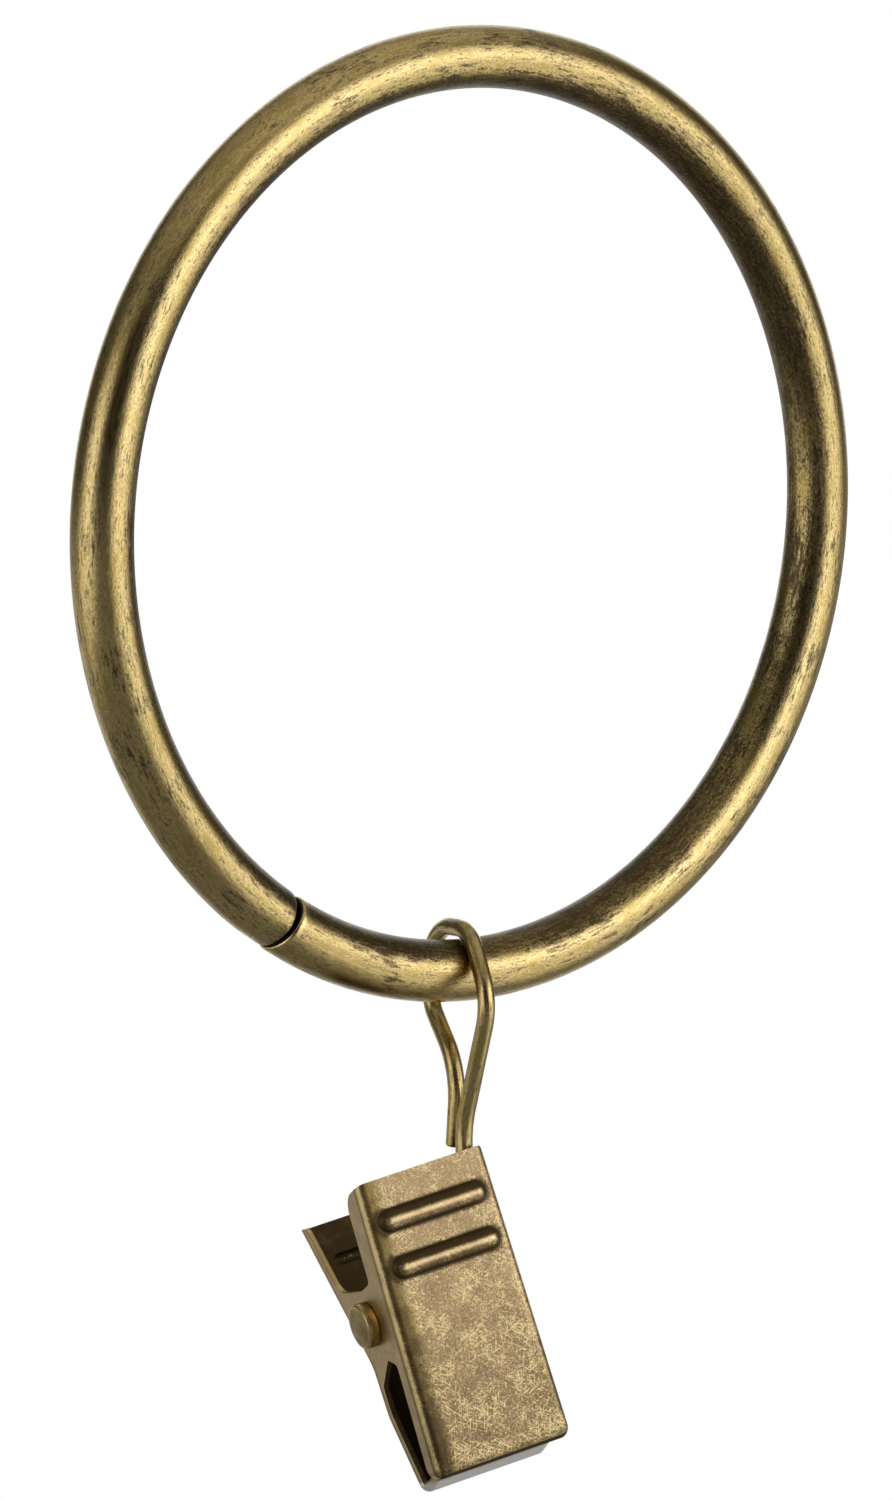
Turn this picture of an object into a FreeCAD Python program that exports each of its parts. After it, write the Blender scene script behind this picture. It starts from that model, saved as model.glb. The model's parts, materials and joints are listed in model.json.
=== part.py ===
import FreeCAD, Part

import math
import os

from FreeCAD import Placement, Rotation, Vector

# Curtain ring with a spring clip hung from it, in millimetres, +Z up.
# The ring stands in the XZ plane round the origin, and the curtain rod passes through it along Y.
# The wire hanger goes round the ring's tube at its lowest point and ends in an eye round the clip's pin.
# The clip is modelled in its own frame: X along the pin, Y from the front jaw to the back jaw, Z up,
# with the origin on the pin's axis at the middle of the clip.

# Ring, a tube rolled into a hoop and closed by a butt seam
RING_BORE = 51.0
RING_TUBE = 3.75
RING_WALL = 0.45
SEAM_ANGLE = 239.5
SEAM_AT_BORE = 0.6
SEAM_AT_RIM = 0.12

# Hanger wire: a loop over the ring, a straight stem, an eye round the pin, and a loose tail beside the stem
WIRE = 1.05
LOOP_CLEARANCE = 0.12
CROWN_HUG = 60.0
BULGE_DROP = 1.65
BULGE_ROUND = 3.2
LOOP_BACK = 3.95
CROWN_ROUND = 2.9
BACK_LEG_DROP = 2.4
BACK_LEG_ROUND = 2.2
STEM_SET = 0.2
STEM_BEND_DROP = 9.4
STEM_BEND_ROUND = 5.0
TAIL_SET = 0.4
TAIL_BEND_DROP = 6.1
TAIL_BEND_ROUND = 4.5
TAIL_END_DROP = 10.6
TAIL_GAP = 0.25
HANGER_DROP = 19.81
EYE_CLEARANCE = 0.22
EYE_WRAP = 278.0
HANGER_YAW = -12.0
HANGER_ROLL = -1.36
HANGER_LEAN = 2.0

# How the clip hangs: turned about Z, rolled about Y and pitched about X, with the eye off its middle
CLIP_YAW = -12.15
CLIP_ROLL = -14.57
CLIP_PITCH = -11.05
EYE_SHIFT = 1.41

# Sheet and pin that both jaws share
SHEET = 0.35
SIDE_TAPER = 0.82
PIN = 1.5
PIN_CLEARANCE = 0.05
EAR_ROUND = 1.9
NEST_CLEARANCE = 0.08

# Front jaw, a flat tray
CLIP_WIDTH = 8.96
FRONT_SIDE_BEND = 0.6
TOP_CORNER_ROUND = 0.45
PIN_BEHIND_FACE = 3.8
FRONT_ABOVE_PIN = 8.45
FRONT_BELOW_PIN = 9.95
LEVER_FLANGE = 2.2
LEVER_CORNER_DROP = 0.75
LEVER_CORNER_ROUND = 1.4
JAW_FLANGE = 1.5
JAW_CORNER = 0.8
FRONT_LIP = 0.8
LIP_BEND = 0.75
EAR_SLOPE = 16.0
EAR_ROOT_ROUND = 0.45

# Back jaw, a bent lever: angles lean away from the front jaw, upwards
BACK_SIDE_BEND = 0.5
PIN_TO_LEVER = 3.83
LEVER_ANGLE = 29.5
LEVER_ABOVE_PIN = 6.7
LEVER_BELOW_PIN = 3.3
CHEEK_ANGLE = 4.4
CHEEK_LENGTH = 3.15
BITE_ANGLE = 22.0
BITE_LENGTH = 5.38
BACK_FLANGE = 1.0
BACK_CORNER_ROUND = 0.7
BACK_BEND = 2.5
BACK_EAR_SLOPE = 41.7
BACK_EAR_ROOT_ROUND = 1.5
LIP_GAP = 0.15

# Finger ribs pressed outwards in both levers
RIB_WIDTH = 1.4
RIB_HEIGHT = 0.45
RIB_FROM_TOP = 2.6
RIB_PITCH = 2.9
RIB_END_MARGIN = 0.75

# Rivet heads
HEAD_DIAMETER = 2.8
HEAD_THICKNESS = 0.8
HEAD_ROUND = 0.2
TAIL_HEAD_DIAMETER = 2.5
TAIL_HEAD_THICKNESS = 0.4

# Torsion spring on the pin, beside the eye
SPRING_WIRE = 0.5
SPRING_CLEARANCE = 0.12
SPRING_TURN_GAP = 0.05
SPRING_FULL_TURNS = 4
SPRING_SIDE_GAP = 0.25
SPRING_LEG = 4.6
SPRING_SEAT_GAP = 0.05

ring_radius = (RING_BORE + RING_TUBE) / 2
eye_radius = PIN / 2 + EYE_CLEARANCE + WIRE / 2
front_half = CLIP_WIDTH / 2
side_slope = math.tan(math.radians(SIDE_TAPER))
back_half = front_half - SHEET - NEST_CLEARANCE
front_face = -PIN_BEHIND_FACE
far = 3 * (FRONT_ABOVE_PIN + FRONT_BELOW_PIN)


def heading(angle):
    """Direction in (y, z) that leans from straight up towards +Y by an angle in degrees."""
    return math.sin(math.radians(angle)), math.cos(math.radians(angle))


def step(point, angle, length):
    """The (y, z) point reached from another along a heading."""
    y, z = heading(angle)
    return point[0] + length * y, point[1] + length * z


def meet(point_a, angle_a, point_b, angle_b):
    """Where two lines cross, each given by a point and a heading."""
    ay, az = heading(angle_a)
    by, bz = heading(angle_b)
    dy = point_b[0] - point_a[0]
    dz = point_b[1] - point_a[1]
    along = (dy * bz - dz * by) / (ay * bz - az * by)
    return point_a[0] + along * ay, point_a[1] + along * az


def corner(point, radius=0.0):
    """A corner of an outline, with the radius that rounds it."""
    return point[0], point[1], radius


def chain(corners, closed):
    """Edges in the YZ plane through (y, z, radius) corners, each rounded by a tangent arc."""
    count = len(corners)
    starts = []
    ends = []
    arcs = []
    for i, (y, z, radius) in enumerate(corners):
        point = Vector(0, y, z)
        start = point
        end = point
        arc = None
        if radius > 0 and (closed or 0 < i < count - 1):
            before = corners[i - 1]
            after = corners[(i + 1) % count]
            to_before = (Vector(0, before[0], before[1]) - point).normalize()
            to_after = (Vector(0, after[0], after[1]) - point).normalize()
            half = to_before.getAngle(to_after) / 2
            start = point + to_before * (radius / math.tan(half))
            end = point + to_after * (radius / math.tan(half))
            inwards = (to_before + to_after).normalize()
            middle = point + inwards * (radius / math.sin(half) - radius)
            arc = Part.Arc(start, middle, end).toShape()
        starts.append(start)
        ends.append(end)
        arcs.append(arc)
    edges = []
    for i in range(count):
        if arcs[i]:
            edges.append(arcs[i])
        following = (i + 1) % count
        if (closed or following) and ends[i].distanceToPoint(starts[following]) > 1e-6:
            edges.append(Part.LineSegment(ends[i], starts[following]).toShape())
    return edges


def beside(corners, distance):
    """An open chain moved sideways, to the left of its direction when the distance is positive."""
    lines = []
    for a, b in zip(corners, corners[1:]):
        along = Vector(0, b[0] - a[0], b[1] - a[1]).normalize()
        left = Vector(0, -along.z, along.y)
        shift = left * distance
        lines.append(((a[0] + shift.y, a[1] + shift.z), (b[0] + shift.y, b[1] + shift.z), along))
    moved = [corner(lines[0][0])]
    for first, second, here in zip(lines, lines[1:], corners[1:]):
        turn = first[2].y * second[2].z - first[2].z * second[2].y
        angle_a = math.degrees(math.atan2(first[2].y, first[2].z))
        angle_b = math.degrees(math.atan2(second[2].y, second[2].z))
        point = meet(first[0], angle_a, second[0], angle_b)
        moved.append(corner(point, here[2] - math.copysign(1, turn) * distance))
    moved.append(corner(lines[-1][1]))
    return moved


def between_sides(half_width):
    """All the room between the clip's two sides, which spread apart towards the mouth."""
    spread = far * side_slope
    top = half_width - spread
    bottom = half_width + spread
    corners = [(-top, far), (top, far), (bottom, -far), (-bottom, -far), (-top, far)]
    face = Part.Face(Part.makePolygon([Vector(x, -far, z) for x, z in corners]))
    return face.extrude(Vector(0, 2 * far, 0))


def block(outline, half_width):
    """A closed outline drawn out to both sides of the clip, its half width given at the pin."""
    face = Part.Face(Part.Wire(chain(outline, True)))
    face.translate(Vector(-far, 0, 0))
    return face.extrude(Vector(2 * far, 0, 0)).common(between_sides(half_width))


def round_sides(solid, skin, half_width, radius):
    """Round the two side edges of a block that lie on the skin, an open chain of its outline."""
    wire = Part.Wire(chain(skin, False))
    picked = []
    for edge in solid.Edges:
        middle = edge.valueAt((edge.FirstParameter + edge.LastParameter) / 2)
        on_side = abs(abs(middle.x) - half_width + middle.z * side_slope) < 1e-5
        flat = Part.Vertex(0, middle.y, middle.z)
        if on_side and wire.distToShape(flat)[0] < 1e-5:
            picked.append(edge)
    return solid.makeFillet(radius, picked)


def round_top(jaw):
    """Round the two top corners of the front lever, seen from the front."""
    half_top = front_half - FRONT_ABOVE_PIN * side_slope
    outline = [
        corner((-far, FRONT_ABOVE_PIN - TOP_CORNER_ROUND)),
        corner((-half_top, FRONT_ABOVE_PIN - TOP_CORNER_ROUND)),
        corner((-half_top, FRONT_ABOVE_PIN), TOP_CORNER_ROUND),
        corner((half_top, FRONT_ABOVE_PIN), TOP_CORNER_ROUND),
        corner((half_top, FRONT_ABOVE_PIN - TOP_CORNER_ROUND)),
        corner((far, FRONT_ABOVE_PIN - TOP_CORNER_ROUND)),
        corner((far, -far)),
        corner((-far, -far)),
    ]
    face = Part.Face(Part.Wire(chain(outline, True)))
    face.rotate(Vector(0, 0, 0), Vector(0, 0, 1), -90)
    face.translate(Vector(0, -far, 0))
    return jaw.common(face.extrude(Vector(0, 2 * far, 0)))


def bar(radius, x_start, x_end, y=0.0, z=0.0):
    """A round bar along the pin's direction."""
    return Part.makeCylinder(radius, x_end - x_start, Vector(x_start, y, z), Vector(1, 0, 0))


def capsule(radius, half_length, y):
    """A bar with ball ends, along X at a depth y."""
    straight = half_length - radius
    ends = [Part.makeSphere(radius, Vector(side * straight, y, 0)) for side in (-1, 1)]
    return bar(radius, -straight, straight, y).fuse(ends)


def press_ribs(jaw, half_width, face_point, face_angle, down_angle):
    """Two ribs pressed out of a lever, below a point at the top of its outer face."""
    radius = (RIB_WIDTH**2 / 4 + RIB_HEIGHT**2) / (2 * RIB_HEIGHT)
    sink = radius - RIB_HEIGHT
    half_length = half_width - RIB_END_MARGIN
    outside = Part.makeBox(2 * far, far, 2 * far, Vector(-far, SHEET - far, -far))
    crest = capsule(radius, half_length, sink).common(outside)
    groove = capsule(radius - SHEET, half_length - SHEET, sink)
    for index in range(2):
        y, z = step(face_point, down_angle, RIB_FROM_TOP + index * RIB_PITCH)
        place = Placement(Vector(0, y, z), Rotation(Vector(1, 0, 0), face_angle))
        jaw = jaw.fuse(crest.transformed(place.Matrix))
        jaw = jaw.cut(groove.transformed(place.Matrix))
    return jaw.removeSplitter()


def make_ring():
    """Hollow hoop with a wedge cut out at the seam, wider at the bore than at the rim."""
    upright = Vector(0, 0, 1)
    hoop = Part.makeTorus(ring_radius, RING_TUBE / 2)
    hollow = Part.makeTorus(ring_radius, RING_TUBE / 2 - RING_WALL)
    tube = hoop.cut(hollow)
    bore = ring_radius - RING_TUBE
    rim = ring_radius + RING_TUBE
    slope = (SEAM_AT_RIM - SEAM_AT_BORE) / RING_TUBE / 2
    middle = (SEAM_AT_BORE + SEAM_AT_RIM) / 4
    half_bore = middle - slope * RING_TUBE
    half_rim = middle + slope * RING_TUBE
    corners = [(bore, -half_bore), (rim, -half_rim), (rim, half_rim), (bore, half_bore), (bore, -half_bore)]
    wedge = Part.Face(Part.makePolygon([Vector(x, y, -RING_TUBE) for x, y in corners]))
    tube = tube.cut(wedge.extrude(upright * (2 * RING_TUBE)))
    tube.rotate(Vector(0, 0, 0), upright, SEAM_ANGLE)
    tube.rotate(Vector(0, 0, 0), Vector(1, 0, 0), 90)
    return tube


def make_hanger():
    """One wire swept along straight runs and arcs, with the ring's tube centre as its own origin."""
    top = RING_TUBE / 2 + LOOP_CLEARANCE + WIRE / 2
    leave = step((0.0, 0.0), -CROWN_HUG, top)
    out_angle = 90 - CROWN_HUG
    shoulder = meet(leave, out_angle, (0.0, top), 90)
    bulge = meet(leave, out_angle, (0.0, -BULGE_DROP), 90)
    tail_end = WIRE + TAIL_GAP - STEM_SET
    route = [
        corner((tail_end, -TAIL_END_DROP)),
        corner((TAIL_SET, -TAIL_BEND_DROP), TAIL_BEND_ROUND),
        corner((LOOP_BACK, -BACK_LEG_DROP), BACK_LEG_ROUND),
        corner((LOOP_BACK, top), CROWN_ROUND),
        corner(shoulder, top),
        corner(bulge, BULGE_ROUND),
        corner((-STEM_SET, -STEM_BEND_DROP), STEM_BEND_ROUND),
        corner((-STEM_SET, -HANGER_DROP)),
    ]
    edges = chain(route, False)
    eye = Part.Circle(Vector(0, eye_radius - STEM_SET, -HANGER_DROP), Vector(1, 0, 0), eye_radius)
    start = eye.parameter(Vector(0, -STEM_SET, -HANGER_DROP))
    edges.append(Part.Arc(eye, start, start + math.radians(EYE_WRAP)).toShape())
    tip = edges[0].valueAt(edges[0].FirstParameter)
    section = Part.Circle(tip, edges[0].tangentAt(edges[0].FirstParameter), WIRE / 2)
    return Part.Wire(edges).makePipeShell([Part.Wire(section.toShape())], True, False)


def make_front_jaw():
    """Flat tray with deeper flanges beside the lever, ears at the pin and a turned-in lip."""
    lever_edge = front_face + LEVER_FLANGE
    jaw_edge = front_face + JAW_FLANGE
    ear_tip = (EAR_ROUND / math.sin(math.radians(EAR_SLOPE)), 0.0)
    ear_top = meet(ear_tip, EAR_SLOPE - 90, (lever_edge, 0.0), 0)
    ear_bottom = meet(ear_tip, -EAR_SLOPE - 90, (jaw_edge, 0.0), 0)
    bottom = -FRONT_BELOW_PIN
    skin = [
        corner((front_face, FRONT_ABOVE_PIN)),
        corner((front_face, bottom), LIP_BEND),
        corner((front_face + LIP_BEND + FRONT_LIP - SHEET, bottom)),
    ]
    outline = skin + [
        corner((jaw_edge, bottom + JAW_CORNER), EAR_ROOT_ROUND / 2),
        corner(ear_bottom, EAR_ROOT_ROUND),
        corner(ear_tip, EAR_ROUND),
        corner(ear_top, EAR_ROOT_ROUND),
        corner((lever_edge, FRONT_ABOVE_PIN - LEVER_CORNER_DROP), LEVER_CORNER_ROUND),
    ]
    inner = [
        corner((front_face + SHEET, far)),
        corner((front_face + SHEET, bottom + SHEET), LIP_BEND - SHEET),
        corner((far, bottom + SHEET)),
    ]
    tray = round_sides(block(outline, front_half), skin, front_half, FRONT_SIDE_BEND)
    hollow = block(inner + [corner((far, far))], front_half - SHEET)
    hollow = round_sides(hollow, inner, front_half - SHEET, FRONT_SIDE_BEND - SHEET)
    jaw = round_top(tray.cut(hollow))
    jaw = press_ribs(jaw, front_half, (front_face, FRONT_ABOVE_PIN), 0, 180)
    return jaw.cut(bar(PIN / 2 + PIN_CLEARANCE, -far, far))


def make_back_jaw():
    """Bent lever with shallow flanges, ears inside the front jaw's ears and a lip that meets the front lip."""
    behind_pin = (PIN_TO_LEVER / math.cos(math.radians(LEVER_ANGLE)), 0.0)
    lever_top = step(behind_pin, LEVER_ANGLE, LEVER_ABOVE_PIN)
    lever_foot = step(behind_pin, 180 + LEVER_ANGLE, LEVER_BELOW_PIN)
    cheek_end = step(lever_foot, 180 + CHEEK_ANGLE, CHEEK_LENGTH)
    bite_end = step(cheek_end, 180 + BITE_ANGLE, BITE_LENGTH)
    lip_angle = BITE_ANGLE - 90
    lip_end = meet(bite_end, lip_angle, (front_face + JAW_FLANGE - LIP_GAP, 0.0), 0)
    skin = [
        corner(lever_top),
        corner(lever_foot, BACK_BEND),
        corner(cheek_end, BACK_BEND),
        corner(bite_end, LIP_BEND),
        corner(lip_end),
    ]
    edge = beside(skin[:4], -BACK_FLANGE)
    inner = beside(skin, -SHEET)
    lip_top = inner[-1]
    lip_root = meet(lip_top, lip_angle, edge[-1], BITE_ANGLE)
    ear_crest = (0.0, EAR_ROUND)
    ear_side = step((0.0, 0.0), 180 + BACK_EAR_SLOPE, EAR_ROUND)
    ear_front = meet(ear_crest, 90, ear_side, 90 + BACK_EAR_SLOPE)
    ear_bottom = meet(ear_side, 90 + BACK_EAR_SLOPE, edge[1], CHEEK_ANGLE)
    ear_top = meet(ear_crest, 90, edge[0], LEVER_ANGLE)
    outline = skin + [
        corner(lip_top),
        corner(lip_root, EAR_ROOT_ROUND / 2),
        corner(edge[2], BACK_BEND),
        corner(ear_bottom, EAR_ROOT_ROUND),
        corner(ear_front, EAR_ROUND),
        corner(ear_top, BACK_EAR_ROOT_ROUND),
        corner(edge[0], BACK_CORNER_ROUND),
    ]
    top_inner = step(inner[0], LEVER_ANGLE, far)
    front_inner = step(lip_top, lip_angle, far)
    inner = [corner(top_inner)] + inner[1:-1] + [corner(front_inner)]
    tray = round_sides(block(outline, back_half), skin, back_half, BACK_SIDE_BEND)
    hollow = block(inner + [corner((front_inner[0], top_inner[1]))], back_half - SHEET)
    hollow = round_sides(hollow, inner, back_half - SHEET, BACK_SIDE_BEND - SHEET)
    jaw = tray.cut(hollow)
    jaw = press_ribs(jaw, back_half, lever_top, 180 - LEVER_ANGLE, 180 + LEVER_ANGLE)
    return jaw.cut(bar(PIN / 2 + PIN_CLEARANCE, -far, far))


def make_rivet():
    """Pin through the four ears, with a broad flat head and a smaller closed-over tail."""
    head_seat = front_half + side_slope * HEAD_DIAMETER / 2
    tail_seat = front_half + side_slope * TAIL_HEAD_DIAMETER / 2
    pin = bar(PIN / 2, -head_seat, tail_seat)
    head = bar(HEAD_DIAMETER / 2, -head_seat - HEAD_THICKNESS, -head_seat)
    face_edge = min((edge for edge in head.Edges if edge.Closed), key=lambda edge: edge.CenterOfMass.x)
    head = head.makeFillet(HEAD_ROUND, [face_edge])
    tail = bar(TAIL_HEAD_DIAMETER / 2, tail_seat, tail_seat + TAIL_HEAD_THICKNESS)
    return pin.fuse([head, tail]).removeSplitter()


def leg_lean(coil_radius, reach):
    """Angle at which a leg tangent to the coil ends at a given distance from the pin."""
    span = math.hypot(coil_radius, SPRING_LEG)
    return math.degrees(math.atan2(SPRING_LEG, coil_radius) - math.acos(reach / span))


def make_spring():
    """Coil on the pin with two straight legs that lie against the insides of the levers."""
    radius = PIN / 2 + SPRING_CLEARANCE + SPRING_WIRE / 2
    seat = SHEET + SPRING_SEAT_GAP + SPRING_WIRE / 2
    front_lean = leg_lean(radius, PIN_BEHIND_FACE - seat)
    back_lean = LEVER_ANGLE + leg_lean(radius, PIN_TO_LEVER - seat)
    turns = SPRING_FULL_TURNS - (180 + front_lean + back_lean) / 360
    pitch = SPRING_WIRE + SPRING_TURN_GAP
    start_x = SHEET + SPRING_SIDE_GAP + SPRING_WIRE / 2 - back_half
    front_tangent = step((0.0, 0.0), -90 - front_lean, radius)
    coil = Part.makeHelix(pitch, pitch * turns, radius)
    start = Vector(0, *front_tangent).normalize()
    along = Vector(1, 0, 0)
    turned = Rotation(start, along.cross(start), along, "ZXY")
    coil.transformShape(Placement(Vector(start_x, 0, 0), turned).Matrix)
    first = coil.Edges[0]
    last = coil.Edges[-1]
    front_root = first.valueAt(first.FirstParameter)
    back_root = last.valueAt(last.LastParameter)
    front_tip = front_root - first.tangentAt(first.FirstParameter) * SPRING_LEG
    back_tip = back_root + last.tangentAt(last.LastParameter) * SPRING_LEG
    front_leg = Part.LineSegment(front_tip, front_root).toShape()
    back_leg = Part.LineSegment(back_root, back_tip).toShape()
    section = Part.Circle(front_tip, front_root - front_tip, SPRING_WIRE / 2)
    route = Part.Wire([front_leg] + coil.Edges + [back_leg])
    return route.makePipeShell([Part.Wire(section.toShape())], True, False)


hanger_place = Placement(Vector(0, 0, -ring_radius), Rotation(HANGER_YAW, HANGER_ROLL, -HANGER_LEAN))
eye_centre = hanger_place.multVec(Vector(0, eye_radius - STEM_SET, -HANGER_DROP))
clip_turn = Rotation(CLIP_YAW, CLIP_ROLL, CLIP_PITCH)
clip_place = Placement(eye_centre - clip_turn.multVec(Vector(EYE_SHIFT, 0, 0)), clip_turn)
at_ring = Placement()

os.makedirs("parts", exist_ok=True)
pieces = [
    ("ring", make_ring(), at_ring),
    ("hanger", make_hanger(), hanger_place),
    ("front_jaw", make_front_jaw(), clip_place),
    ("back_jaw", make_back_jaw(), clip_place),
    ("pivot_rivet", make_rivet(), clip_place),
    ("torsion_spring", make_spring(), clip_place),
]
for name, shape, place in pieces:
    placed = shape.transformed(place.Matrix)
    print(name, placed.ShapeType, len(placed.Solids), placed.isValid(), round(placed.Volume, 3))
    placed.exportStep("parts/" + name + ".step")
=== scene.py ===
# %% [markdown]
# A curtain ring with a clip
#
# The real thing is a brass tube rolled into a hoop, a bent wire that rides on the hoop, and a small sprung clip
# on the wire. All of it has an antique finish: the plating is darkened, and then rubbed bright where hands and
# cloth reach it. This lesson dresses the packed model in that finish, piece by piece.

# %% Load the packed model
import json
import bpy
import numpy as np
from mathutils import Euler, Matrix, Vector

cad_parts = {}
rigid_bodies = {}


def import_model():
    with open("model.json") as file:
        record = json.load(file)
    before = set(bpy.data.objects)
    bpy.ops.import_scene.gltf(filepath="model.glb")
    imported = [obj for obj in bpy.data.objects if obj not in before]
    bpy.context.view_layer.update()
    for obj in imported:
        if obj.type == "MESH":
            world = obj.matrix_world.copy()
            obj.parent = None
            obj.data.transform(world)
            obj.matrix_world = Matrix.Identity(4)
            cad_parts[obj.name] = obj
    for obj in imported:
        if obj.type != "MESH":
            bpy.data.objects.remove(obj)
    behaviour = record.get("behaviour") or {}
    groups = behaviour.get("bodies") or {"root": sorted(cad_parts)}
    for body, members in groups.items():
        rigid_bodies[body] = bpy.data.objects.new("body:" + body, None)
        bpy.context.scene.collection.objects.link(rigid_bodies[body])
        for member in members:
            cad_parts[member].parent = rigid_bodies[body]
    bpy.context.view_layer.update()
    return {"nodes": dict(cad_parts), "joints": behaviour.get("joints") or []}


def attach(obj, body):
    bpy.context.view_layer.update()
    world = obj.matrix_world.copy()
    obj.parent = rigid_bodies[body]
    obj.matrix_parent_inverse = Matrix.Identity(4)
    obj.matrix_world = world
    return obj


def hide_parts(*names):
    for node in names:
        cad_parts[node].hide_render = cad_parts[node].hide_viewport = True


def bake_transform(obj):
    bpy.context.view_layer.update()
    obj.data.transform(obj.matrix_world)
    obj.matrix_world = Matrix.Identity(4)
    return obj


for leftover in list(bpy.data.objects):
    bpy.data.objects.remove(leftover)
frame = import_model()
MM = 0.001

# %% [markdown]
# The camera
#
# The photograph was taken with a long lens from the front left and a little above. The camera could be placed by
# eye, but the hoop is a true circle, so its outline gives the angle and the distance. The lens stays unshifted:
# the camera is aimed at the middle of the picture instead of at the middle of the hoop.

# %% Place the camera
PICTURE = (892, 1500)
FOCAL_PIXELS = 10078.2
HOOP_CENTRE_PIXEL = (469.7, 515.2)
SENSOR = 36.0
camera_turn, camera_rise, camera_roll = np.radians([-38.83, 4.59, 1.25])
camera_place = np.array([-376.41, -467.65, 48.2]) * MM

back = np.array([
    np.sin(camera_turn) * np.cos(camera_rise),
    -np.cos(camera_turn) * np.cos(camera_rise),
    np.sin(camera_rise),
])
level = np.array([np.cos(camera_turn), np.sin(camera_turn), 0.0])
upright = np.cross(back, level)
right = level * np.cos(camera_roll) + upright * np.sin(camera_roll)
above = np.cross(back, right)
aim = (
    right * (PICTURE[0] / 2 - HOOP_CENTRE_PIXEL[0]) / FOCAL_PIXELS
    - above * (PICTURE[1] / 2 - HOOP_CENTRE_PIXEL[1]) / FOCAL_PIXELS
    - back
)
axis = -aim / np.linalg.norm(aim)
side = right - axis * (right @ axis)
side = side / np.linalg.norm(side)
turn = np.column_stack([side, np.cross(axis, side), axis])

lens = bpy.data.cameras.new("camera")
lens.sensor_fit = "VERTICAL"
lens.sensor_height = SENSOR
lens.lens = FOCAL_PIXELS * SENSOR / PICTURE[1]
lens.clip_start = 0.01
camera = bpy.data.objects.new("camera", lens)
camera.matrix_world = Matrix.Translation(camera_place) @ Matrix(turn.tolist()).to_4x4()
bpy.context.scene.collection.objects.link(camera)
bpy.context.scene.camera = camera
print("lens", round(lens.lens, 1), "mm at", camera_place.round(3))

# %% [markdown]
# Writing shader sums as Python
#
# A finish is mostly sums on masks and noise. Nodes could be added one at a time, but then a line of arithmetic
# becomes ten lines of wiring. One small class holds a socket, so that 1 - mask adds the Math node by itself.

# %% A socket that does sums
class Flow:
    """One output socket: sums on it add Math nodes, and node() adds any other node."""

    def __init__(self, tree, socket=None):
        self.tree = tree
        self.socket = socket

    def node(self, kind, settings=None, sockets=None, out=0):
        """A node of that kind: its settings are set first, then its sockets are given values or links."""
        made = self.tree.nodes.new(kind)
        for key, value in (settings or {}).items():
            setattr(made, key, value)
        for key, value in (sockets or {}).items():
            if isinstance(value, Flow):
                self.tree.links.new(value.socket, made.inputs[key])
            else:
                made.inputs[key].default_value = value
        return Flow(self.tree, made.outputs[out]) if len(made.outputs) else made

    def sum(self, operation, *values):
        return self.node("ShaderNodeMath", {"operation": operation}, dict(enumerate(values)))

    def __add__(self, other):
        return self.sum("ADD", self, other)

    def __radd__(self, other):
        return self.sum("ADD", other, self)

    def __sub__(self, other):
        return self.sum("SUBTRACT", self, other)

    def __rsub__(self, other):
        return self.sum("SUBTRACT", other, self)

    def __mul__(self, other):
        return self.sum("MULTIPLY", self, other)

    def __rmul__(self, other):
        return self.sum("MULTIPLY", other, self)

    def __pow__(self, other):
        return self.sum("POWER", self, other)

    def __abs__(self):
        return self.sum("ABSOLUTE", self)

    def least(self, other):
        return self.sum("MINIMUM", self, other)

    def most(self, other):
        return self.sum("MAXIMUM", self, other)

    def step(self, low, high):
        """0 below low, 1 above high and an S-shaped rise between; low may be the larger one."""
        sockets = {"Value": self, "From Min": low, "From Max": high}
        return self.node("ShaderNodeMapRange", {"interpolation_type": "SMOOTHSTEP"}, sockets)

    def mix(self, first, second):
        """The colour that goes from first to second as this value goes from 0 to 1."""
        return self.node("ShaderNodeMix", {"data_type": "RGBA"}, {0: self, 6: first, 7: second}, 2)

    def stretch(self, factors):
        """This vector with each of its parts multiplied by its own factor."""
        return self.node("ShaderNodeVectorMath", {"operation": "MULTIPLY"}, {0: self, 1: factors})

    def noise(self, scale, detail=2.0, roughness=0.5):
        """Cloudy noise from about 0.25 to 0.75, with features of about 1 / scale."""
        sockets = {"Vector": self, "Scale": scale, "Detail": detail, "Roughness": roughness}
        return self.node("ShaderNodeTexNoise", None, sockets)

    def parts(self):
        """The three parts of this vector."""
        split = self.node("ShaderNodeSeparateXYZ", None, {0: self}).socket.node
        return [Flow(self.tree, output) for output in split.outputs]


def new_finish(name):
    """An empty metal: its Flow and its Principled shader, with nothing linked but the output."""
    material = bpy.data.materials.new(name)
    material.use_nodes = True
    shader = material.node_tree.nodes["Principled BSDF"]
    return material, Flow(material.node_tree), shader


def connect(flow, shader, **values):
    """Links flows to the shader's sockets, and sets plain numbers on them."""
    for name, value in values.items():
        target = shader.inputs[name.replace("_", " ")]
        if isinstance(value, Flow):
            flow.tree.links.new(value.socket, target)
        else:
            target.default_value = value


def relief(flow, height, strength, depth):
    """A bump from a height between 0 and 1, as deep as depth in metres."""
    return flow.node("ShaderNodeBump", None, {"Strength": strength, "Distance": depth, "Height": height})


print("Flow is ready:", [name for name in vars(Flow) if not name.startswith("_")])

# %% [markdown]
# The studio
#
# Brass shows its surroundings more than its own colour, so the room matters as much as the metal. The picture has
# a white backdrop, a dark room behind the photographer, a large soft light on the right and a weaker one on the
# left. A picture of a studio could light it, but a gradient on the world's direction and two lamps do the same.
# The camera sees white everywhere, and the metal sees white where the backdrop stands.

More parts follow.
